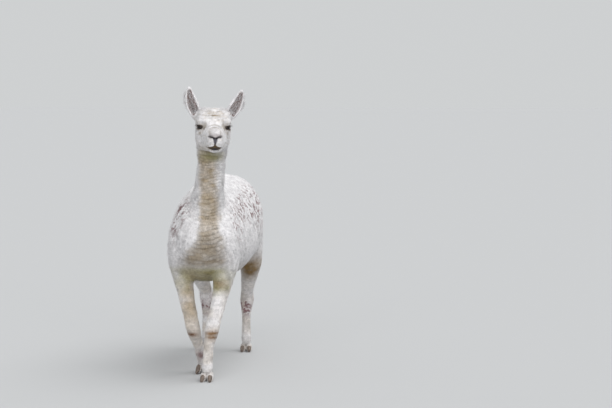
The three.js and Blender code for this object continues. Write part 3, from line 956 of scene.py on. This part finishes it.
class Coat:
    """What the coat needs to know at each vertex and triangle of the skin."""

    def __init__(self, skin):
        mesh = skin.data
        self.points = positions(mesh)
        self.tri = triangles(mesh)
        edges = edges_of(mesh)
        self.part = regions(self.points)
        self.normals = unit(smoothed(normals_of(self.points, self.tri), edges, 0.5, 4))
        way = self.laid_flat(lie(self.points, self.normals, self.part))
        self.way = self.laid_flat(smoothed(way, edges, 0.5, 25))
        self.depth = coat_depth(self.points, self.part, edges)
        self.length = smoothed(by_part(self.part, TUFT_LENGTH), edges, 0.5, 12)
        self.length = self.length * (1 - 0.3 * muzzle_share(self.points, self.part))
        corners = self.points[self.tri]
        span = np.cross(corners[:, 1] - corners[:, 0], corners[:, 2] - corners[:, 0])
        self.area = np.linalg.norm(span, axis=1) / 2
        self.middle = corners.mean(axis=1)
        self.own, self.maps = {}, {}
        label = piece_of(self)
        for name in COAT_PIECES:
            self.own[name] = np.nonzero(label == name)[0]
            self.maps[name] = unwrap(self.points, self.tri[self.own[name]], name + "_map")

    def laid_flat(self, way):
        """Directions brought into the skin's own surface."""
        return unit(way - self.normals * np.sum(way * self.normals, axis=1, keepdims=True))

    def scatter(self, name, weight, count, rng):
        """Random roots on one piece's share of the skin, and what is known at each of them."""
        own = self.own[name]
        chance = self.area[own] * weight[own]
        pick = np.sort(rng.choice(len(own), size=count, p=chance / chance.sum()))
        r1, r2 = np.sqrt(rng.random(count)), rng.random(count)
        bary = np.column_stack([1 - r1, r1 * (1 - r2), r1 * r2])
        tri = self.tri[own[pick]]
        at_root = {"map": np.einsum("ij,ijk->ik", bary, self.maps[name][pick])}
        for key in ("points", "normals", "way"):
            at_root[key] = np.einsum("ij,ijk->ik", bary, getattr(self, key)[tri])
        for key in ("depth", "length"):
            at_root[key] = np.sum(getattr(self, key)[tri] * bary, axis=1)
        return at_root


def bare(points, normals, part):
    """Where no hair grows: the eyes, the nose pad, the lips, the soles and the cups of the ears."""
    face = face_features(points)
    cover = [0.9 * np.square(face["pad"]), face["gape"], face["wedge"]]
    cover += [bell(face["slit"], 0.004) * face["front"], 1 - ease(points[:, 2], 0.004, 0.01)]
    for name in SIDES:
        cover.append(1 - ease(lid_measure(points, name)[0], 1.06, 1.2))
        cover.append(0.93 * cup_share(points, normals, name) * part["ear"])
        cover.append(ease(ear_place(points, name)[0], 0.95, 0.98) * part["ear"])
    return np.max(cover, axis=0)


def piece_of(coat):
    """The name of the coat piece that each triangle of the skin belongs to."""
    part = regions(coat.middle)
    rear, left = along(coat.middle) > 0, leftward(coat.middle) > 0
    label = np.where(rear, np.where(left, "coat_rear_left", "coat_rear_right"),
                     np.where(left, "coat_fore_left", "coat_fore_right"))
    label = np.where(part["neck"] > 0.5, "coat_neck", label)
    legs = np.maximum(part["leg"], part["foot"]) > 0.5
    label = np.where(legs, np.where(rear, "coat_hindlegs", "coat_forelegs"), label)
    label = np.where(np.maximum(part["head"], part["ear"]) > 0.5, "coat_head", label)
    return label


def unwrap(points, tri, name):
    """An unwrap of the skin's own shape: a map place for each corner of each triangle."""
    used, inverse = np.unique(tri, return_inverse=True)
    item = mesh_object(name, points[used], inverse.reshape(-1, 3))
    bpy.context.view_layer.objects.active = item
    item.select_set(True)
    bpy.ops.object.mode_set(mode="EDIT")
    bpy.ops.mesh.select_all(action="SELECT")
    bpy.ops.uv.smart_project(angle_limit=math.radians(66), island_margin=0.004)
    bpy.ops.object.mode_set(mode="OBJECT")
    mesh = item.data
    corners = rows_of(mesh.uv_layers.active.data, "uv", 2).reshape(-1, 3, 2)
    bpy.data.objects.remove(item)
    bpy.data.meshes.remove(mesh)
    return corners.astype(float)


# A tuft's corners are its root, the two sides and the ridge of its waist, and its tip.
# The faces on its underside have their own true normals; the others are shaded softly.
TUFT_FACES = np.array([[0, 1, 3], [0, 3, 2], [0, 2, 1], [4, 3, 1], [4, 2, 3], [4, 1, 2]])
TUFT_UNDERSIDE = (2, 5)
# Painted shade along each tuft: darker at its root, a little lighter at its tip.
TUFT_SHADE = np.array([0.88, 0.97, 0.97, 1.0, 1.03])
TUFT_SINK = 0.0008             # how deep in the skin its root lies
# A tuft's arch: how far along it its waist is, and how high its waist and tip are.
WAIST_ALONG, WAIST_UP, TIP_UP = 0.45, 0.88, 0.5
PATCH = 0.0015                 # a tuft's half size on the skin's unwrap
TUFT_PATCH = np.array([[0, -1.0], [-0.8, 0.1], [0.8, 0.1], [0, 0.3], [0, 1.0]])
TURN_SPREAD = 0.2             # radians that tufts stray from the lie
# How much tufts differ in length, width, height and shade.
LENGTHS, WIDTHS, RISES, SHADES = (0.75, 1.2), (0.7, 1.3), (0.82, 1.1), (0.88, 1.07)
FLOOR_GAP = 0.0003             # no tuft comes nearer to the floor than this


def tuft_points(at_root, half_width, rng):
    """The five corners of each tuft, and its soft normals at the corners of its six triangles."""
    root, depth = at_root["points"], at_root["depth"]
    normal, way = unit(at_root["normals"]), unit(at_root["way"])
    count = len(root)
    swirl = 0.22 * noise(root, 0.035, 41) + 0.12 * noise(root, 0.012, 42)
    turn = swirl + rng.normal(0, TURN_SPREAD, count)
    way = way * np.cos(turn)[:, None] + np.cross(normal, way) * np.sin(turn)[:, None]
    sideways = np.cross(normal, way)

    length = at_root["length"] * rng.uniform(*LENGTHS, count)
    half = half_width * rng.uniform(*WIDTHS, count) * np.clip(length / depth / 1.6, 0.75, 1.2)
    clump = 0.1 * noise(root, 0.014, 43) + 0.06 * noise(root, 0.006, 44)
    crest = 0.22 * ridges(root) * np.maximum(regions(root)["neck"], stripe_share(root, normal))
    rise = np.minimum(depth * (rng.uniform(*RISES, count) + clump + crest), length * 0.75)
    flat = np.sqrt(length ** 2 - rise ** 2)
    start = root - normal * TUFT_SINK
    waist = root + way * (WAIST_ALONG * flat)[:, None] + normal * (WAIST_UP * rise)[:, None]
    tip = root + way * flat[:, None] + normal * (TIP_UP * rise)[:, None]
    across = sideways * half[:, None]
    ridge = normal * (half * 0.36)[:, None]
    points = np.stack([start, waist - across, waist + across, waist + ridge, tip], axis=1)
    points[..., 2] = np.maximum(points[..., 2], FLOOR_GAP)

    soft = np.stack([normal, unit(normal - 0.55 * sideways), unit(normal + 0.55 * sideways),
                     normal, unit(normal + 0.35 * way)], axis=1)[:, TUFT_FACES]
    for under in TUFT_UNDERSIDE:
        a, b, c = (points[:, corner] for corner in TUFT_FACES[under])
        soft[:, under] = unit(np.cross(b - a, c - a))[:, None, :]
    return points, soft


def make_coat_piece(coat, name, weight, material):
    """One part of the fleece: tufts of six triangles, joined as one mesh."""
    count, half_width = COAT_PIECES[name]
    rng = np.random.default_rng(SEED + sum(ord(letter) for letter in name))
    at_root = coat.scatter(name, weight, count, rng)
    root = at_root["points"]
    points, soft = tuft_points(at_root, half_width, rng)
    faces = (TUFT_FACES[None] + 5 * np.arange(count)[:, None, None]).reshape(-1, 3)
    piece = mesh_object(name, points.reshape(-1, 3), faces)

    mottle = 1 + 0.16 * noise(root, 0.007, 45) + 0.12 * noise(root, 0.014, 46)
    shade = rng.uniform(*SHADES, count) * mottle
    colour = markings_and_shade(root, unit(at_root["normals"])) * shade[:, None]
    colours = np.clip(colour[:, None, :] * TUFT_SHADE[None, :, None], 0, 0.95)
    set_colours(piece.data, "markings_and_shade", colours.reshape(-1, 3))
    piece.data.normals_split_custom_set(soft.reshape(-1, 3).tolist())
    lay_patches(piece.data, TUFT_FACES, TUFT_PATCH, at_root["map"])
    finish_coat(piece, material)


def finish_coat(piece, material):
    piece.data.materials.append(material)
    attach(piece, "root")


def lay_patches(mesh, faces, shape, centre):
    """The OFBake map: each tuft is a small patch at its root's place on the skin's unwrap."""
    centre = np.clip(centre, PATCH * 1.1, 1 - PATCH * 1.1)
    corners = centre[:, None, None, :] + shape[faces][None] * PATCH
    layer = mesh.uv_layers.new(name="OFBake")
    layer.data.foreach_set("uv", packed(corners))


# ---------------------------------------------------------------- eyes
def eye_material():
    material, tree, shader = new_material("eye", 0.04)
    shader.inputs["Specular IOR Level"].default_value = 0.26
    colour = node(tree, "ShaderNodeAttribute", attribute_name="iris")
    tree.links.new(colour.outputs["Color"], shader.inputs["Base Color"])
    return material


PUPIL = np.array([0.003, 0.003, 0.004])
IRIS = np.array([0.022, 0.011, 0.007])
IRIS_EDGE = np.array([0.008, 0.006, 0.005])
EYE_WHITE = np.array([0.035, 0.026, 0.022])
CORNEA = 0.045                 # the cornea's bulge, as a share of the eyeball's radius
PUPIL_HALF = (0.44, 0.24)      # the pupil's half length and half height, as such shares too


def make_eye(side, material):
    """An eyeball with a bulging cornea, a dark iris and a level pupil."""
    bm = bmesh.new()
    bmesh.ops.create_uvsphere(bm, u_segments=96, v_segments=64, radius=EYE_RADIUS)
    mesh = bpy.data.meshes.new(f"eyeball_{side}")
    bm.to_mesh(mesh)
    bm.free()
    shade_smooth(mesh)
    out, level, high = eye_axes(side)
    local = positions(mesh) / EYE_RADIUS
    ring = np.hypot(local[:, 0], local[:, 1])
    ahead = local[:, 2] > 0
    bulge = 1 + CORNEA * (1 - ease(ring, 0.0, 0.72)) * ahead
    world = (local * bulge[:, None] * EYE_RADIUS) @ np.array([level, high, out]) + EYE_AT[side]
    place(mesh, world)
    angle = np.arctan2(local[:, 1], local[:, 0])
    rays = 0.5 + 0.5 * np.sin(angle * 37 + 3 * np.sin(angle * 11)) * np.sin(angle * 23)
    iris = IRIS[None] * (0.6 + 0.8 * rays[:, None])
    iris = mixed(iris, IRIS_EDGE, ease(ring, 0.55, 0.7))
    pupil = 1 - ease(np.hypot(*(local[:, :2] / PUPIL_HALF).T), 0.85, 1.05)
    colours = mixed(iris, PUPIL, pupil)
    colours = mixed(colours, EYE_WHITE, np.maximum(ease(ring, 0.74, 0.84), ~ahead))
    set_colours(mesh, "iris", colours)
    eye = add_object(f"eyeball_{side}", mesh)
    mesh.materials.append(material)
    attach(eye, "root")
    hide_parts(f"eye_{side}")


# ---------------------------------------------------------------- nails
HORN_DARK = (0.075, 0.055, 0.045, 1)
HORN_LIGHT = (0.26, 0.2, 0.16, 1)
NAIL_VOXEL = 0.0011
NAIL_SOLE = 0.0006             # what lies lower than this stands on the floor
NAIL_RING_STEP, NAIL_RING_DEPTH = 0.0045, 0.0004


def nail_material():
    material, tree, shader = new_material("horn", 0.5)
    ramp = node(tree, "ShaderNodeValToRGB")
    for stop, (position, colour) in zip(ramp.color_ramp.elements, ((0.3, HORN_DARK), (0.75, HORN_LIGHT))):
        stop.position = position
        stop.color = colour
    grain = object_noise(tree, 90, 4, (3, 0.5, 1))
    tree.links.new(grain, ramp.inputs["Fac"])
    tree.links.new(ramp.outputs["Color"], shader.inputs["Base Color"])
    bumped(tree, shader, grain, 0.0006, 0.6)
    return material


def make_nail(name, material):
    """A nail with rounded edges, from its node."""
    nail = mesh_object("horn_" + name.removeprefix("nail_"), *welded(NODES[name].data))
    mesh = remeshed(nail, NAIL_VOXEL)
    points = positions(mesh)
    sole = points[:, 2] < NAIL_SOLE
    points = smoothed(points, edges_of(mesh), 0.5, 8)
    rings = np.sin(points[:, 1] * 2 * math.pi / NAIL_RING_STEP)
    points = points + normals_of(points, triangles(mesh)) * (NAIL_RING_DEPTH * rings)[:, None]
    points[sole, 2] = 0
    points[:, 2] = np.maximum(points[:, 2], 0)
    place(mesh, points)
    shade_smooth(mesh)
    mesh.materials.append(material)
    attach(nail, "root")
    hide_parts(name)


# ---------------------------------------------------------------- long single hairs
STRAND_STEPS = 4
LASHES = 34                    # along each upper lid
LASH_HALF = 0.00026
LASH_COLOUR = (0.055, 0.045, 0.042)
WISP_SPREAD, WISP_BEND = 0.22, 0.16
LONG_SHARE, LONG_TIMES = 0.12, 1.5
# The wisps that stand out of the short coat: where they grow, how many, length, half width.
WISPS = {
    "ear_rims": ("coat_head", 900, 0.0155, 0.0006),
    "ear_cups": ("coat_head", 1300, 0.019, 0.00042),
    "crown": ("coat_head", 1200, 0.013, 0.0005),
    "hocks": ("coat_hindlegs", 900, 0.013, 0.00055),
}


def strand_faces():
    """The triangles of one tapered three-sided hair: its foot, its sides and its tip."""
    faces = [[0, 2, 1]]
    for step in range(STRAND_STEPS - 1):
        for k in range(3):
            a, b = step * 3 + k, step * 3 + (k + 1) % 3
            faces += [[a, b, b + 3], [a, b + 3, a + 3]]
    last = (STRAND_STEPS - 1) * 3
    return np.array(faces + [[last + k, last + (k + 1) % 3, last + 3] for k in range(3)])


def make_strands(name, roots, ways, bends, lengths, half, colours, centres, material):
    """Hairs that start along ways and bend away, joined as one mesh."""
    ways = unit(ways)
    across = unit(np.cross(ways, bends + 1e-6))
    lift = np.cross(across, ways)
    rings, patch = [], []
    for step in range(STRAND_STEPS):
        t = step / STRAND_STEPS
        centre = roots + ways * (lengths * t)[:, None] + bends * (lengths * t * t)[:, None]
        for k in range(3):
            angle = 2 * math.pi * k / 3
            out = across * math.cos(angle) + lift * math.sin(angle)
            rings.append(centre + out * half * (1 - 0.75 * t))
            patch.append(((1 - 0.7 * t) * math.cos(angle), (1 - 0.7 * t) * math.sin(angle)))
    tip = roots + ways * lengths[:, None] + bends * lengths[:, None]
    points = np.stack(rings + [tip], axis=1)
    faces = strand_faces()
    width = points.shape[1]
    joined = (faces[None] + width * np.arange(len(roots))[:, None, None]).reshape(-1, 3)
    piece = mesh_object(name, points.reshape(-1, 3), joined)
    set_colours(piece.data, "markings_and_shade", np.repeat(colours, width, axis=0))
    lay_patches(piece.data, faces, np.array(patch + [(0.05, 0.02)]), centres)
    finish_coat(piece, material)


def make_lashes(coat, material):
    """Long dark-grey lashes along each upper lid."""
    rng = np.random.default_rng(SEED + 1)
    roots, ways, bends, lengths = [], [], [], []
    for side in SIDES:
        out, level, high = eye_axes(side)
        for t in np.linspace(-0.85, 0.85, LASHES):
            turn = t * LID_HALF_LENGTH * 0.95
            above = LID_UPPER * 1.08 * max(1 - abs(t) ** 1.7, 0.0) ** 0.55
            way = out * math.cos(turn) * math.cos(above) + level * math.sin(turn) + high * math.sin(above)
            way = unit(way)
            roots.append(EYE_AT[side] + way * (EYE_RADIUS + LID_GAP))
            ways.append(way * 0.8 + out * 0.5 + high * (0.1 + 0.1 * rng.random()) + level * 0.5 * t)
            bends.append(-high * 0.3 + out * 0.05)
            lengths.append(0.015 + 0.006 * rng.random() - 0.003 * abs(t))
    roots = np.array(roots)
    own = coat.own["coat_head"]
    gaps = np.linalg.norm(roots[:, None] - coat.middle[own][None], axis=2)
    centres = coat.maps["coat_head"][gaps.argmin(axis=1)].mean(axis=1)
    colours = np.tile(LASH_COLOUR, (len(roots), 1))
    make_strands("lashes", roots, np.array(ways), np.array(bends), np.array(lengths), LASH_HALF,
                 colours, centres, material)


def wisp_place(kind, points, normals, part):
    """For one kind of wisp: how thickly it grows at each point, and which way it points."""
    h = head_place(points)
    if kind == "crown":
        weight = ease(h[:, 2], 0.066, 0.08) * part["head"] * bell(h[:, 0] + 0.02, 0.035)
        weight = weight * ease(np.abs(h[:, 1]), 0.015, 0.045)
        return weight, HEAD_UP * 0.9 + normals * 0.5 + np.sign(h[:, 1:2]) * LEFT * 0.15
    if kind == "hocks":
        return bell(points[:, 2] - 0.27, 0.06), normals * 0.6 + np.array([0, 0.25, -0.8])
    weight = np.zeros(len(points))
    ways = np.tile(HEAD_UP, (len(points), 1))
    for side, sign in SIDES.items():
        share, out, _, axis, across, cup = ear_place(points, side)
        own = part["ear"] * (h[:, 1] * sign > 0) * (share < 0.98)
        reach = out / np.interp(share, EAR_SHARES, EAR_HALVES)
        if kind == "ear_rims":
            clumps = 0.15 + ease(noise(points, 0.01, 51), 0.0, 0.5)
            here = own * ease(reach, 0.72, 0.88) * ease(share, 0.2, 0.5) * clumps
            aim = across * 0.9 + axis * 0.55
        else:
            here = own * cup_share(points, normals, side) * (1 - ease(share, 0.75, 0.95))
            aim = axis + cup * 0.22 + across * (0.25 * np.sign(-out))[:, None]
        weight = weight + here
        ways = np.where((own > 0)[:, None], aim, ways)
    return weight, ways


def make_wisps(coat, kind, material):
    """One kind of wisp, joined as one mesh."""
    name, count, length, half = WISPS[kind]
    rng = np.random.default_rng(SEED + 2 + len(kind))
    slope = unit(coat.normals[coat.tri].mean(axis=1))
    weight, _ = wisp_place(kind, coat.middle, slope, regions(coat.middle))
    at_root = coat.scatter(name, weight + 1e-9, count, rng)
    root, normal = at_root["points"], unit(at_root["normals"])
    _, ways = wisp_place(kind, root, normal, regions(root))
    ways = unit(ways) + rng.normal(0, WISP_SPREAD, (count, 3))
    lengths = length * rng.uniform(0.45, 1.0, count)
    lengths = lengths * np.where(rng.random(count) < LONG_SHARE, LONG_TIMES, 1.0)
    colours = WHITE[None] * rng.uniform(0.8, 1.08, (count, 1))
    bends = rng.normal(0, WISP_BEND, (count, 3))
    make_strands("wisps_" + kind, root - normal * TUFT_SINK, ways, bends,
                 lengths, half, colours, at_root["map"], material)


# ---------------------------------------------------------------- floor and light
FLOOR_SIZE = 400
FLOOR_COLOUR = (0.5175, 0.5225, 0.528, 1)
WORLD_COLOUR, WORLD_STRENGTH = (0.97, 0.99, 1.0, 1), 0.64
# Each light: where it comes from, its width in degrees and its strength.
SUNS = {"key": ((0.45, 0.1, 1.0), 50, 1.4), "fill": ((0.15, -1.0, 0.4), 70, 1.4)}


def make_stage():
    """A plain floor that looks as pale as the world behind it."""
    bpy.ops.mesh.primitive_plane_add(size=FLOOR_SIZE, location=(0, 0, 0))
    floor = bpy.context.object
    floor.name = "floor"
    material, _, shader = new_material("floor", 0.9)
    shader.inputs["Base Color"].default_value = FLOOR_COLOUR
    shader.inputs["Specular IOR Level"].default_value = 0.0
    floor.data.materials.append(material)


def make_sun(name, towards, width, strength):
    """A soft even light that comes from the given direction."""
    data = bpy.data.lights.new(name, "SUN")
    data.angle = math.radians(width)
    data.energy = strength
    light = add_object(name, data)
    light.rotation_euler = Vector(towards).to_track_quat("Z", "Y").to_euler()


def make_light():
    """The even daylight of the photograph: a pale world and two wide suns."""
    world = bpy.data.worlds.new("studio")
    world.use_nodes = True
    background = world.node_tree.nodes["Background"]
    background.inputs["Color"].default_value = WORLD_COLOUR
    background.inputs["Strength"].default_value = WORLD_STRENGTH
    bpy.context.scene.world = world
    bpy.context.scene.view_settings.view_transform = "Standard"
    for name, (towards, width, strength) in SUNS.items():
        make_sun(name, towards, width, strength)


# ---------------------------------------------------------------- putting it together
def make_body():
    """The skin and all that grows on it."""
    skin = make_skin()
    mesh = skin.data
    points = positions(mesh)
    normals = normals_of(points, triangles(mesh))
    set_colours(mesh, "markings_and_shade", markings_and_shade(points, normals))
    mesh.materials.append(skin_material())
    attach(skin, "root")
    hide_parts(*FLESH)

    coat = Coat(skin)
    slope = unit(coat.normals[coat.tri].mean(axis=1))
    part = regions(coat.middle)
    weight = (1 - bare(coat.middle, slope, part)) * (1 + muzzle_share(coat.middle, part))
    material = coat_material()
    for name in COAT_PIECES:
        make_coat_piece(coat, name, weight, material)
    make_lashes(coat, material)
    for kind in WISPS:
        make_wisps(coat, kind, material)


make_stage()
make_light()
make_body()
EYE = eye_material()
for eye_side in SIDES:
    make_eye(eye_side, EYE)
HORN = nail_material()
for nail_name in [name for name in NODES if name.startswith("nail_")]:
    make_nail(nail_name, HORN)
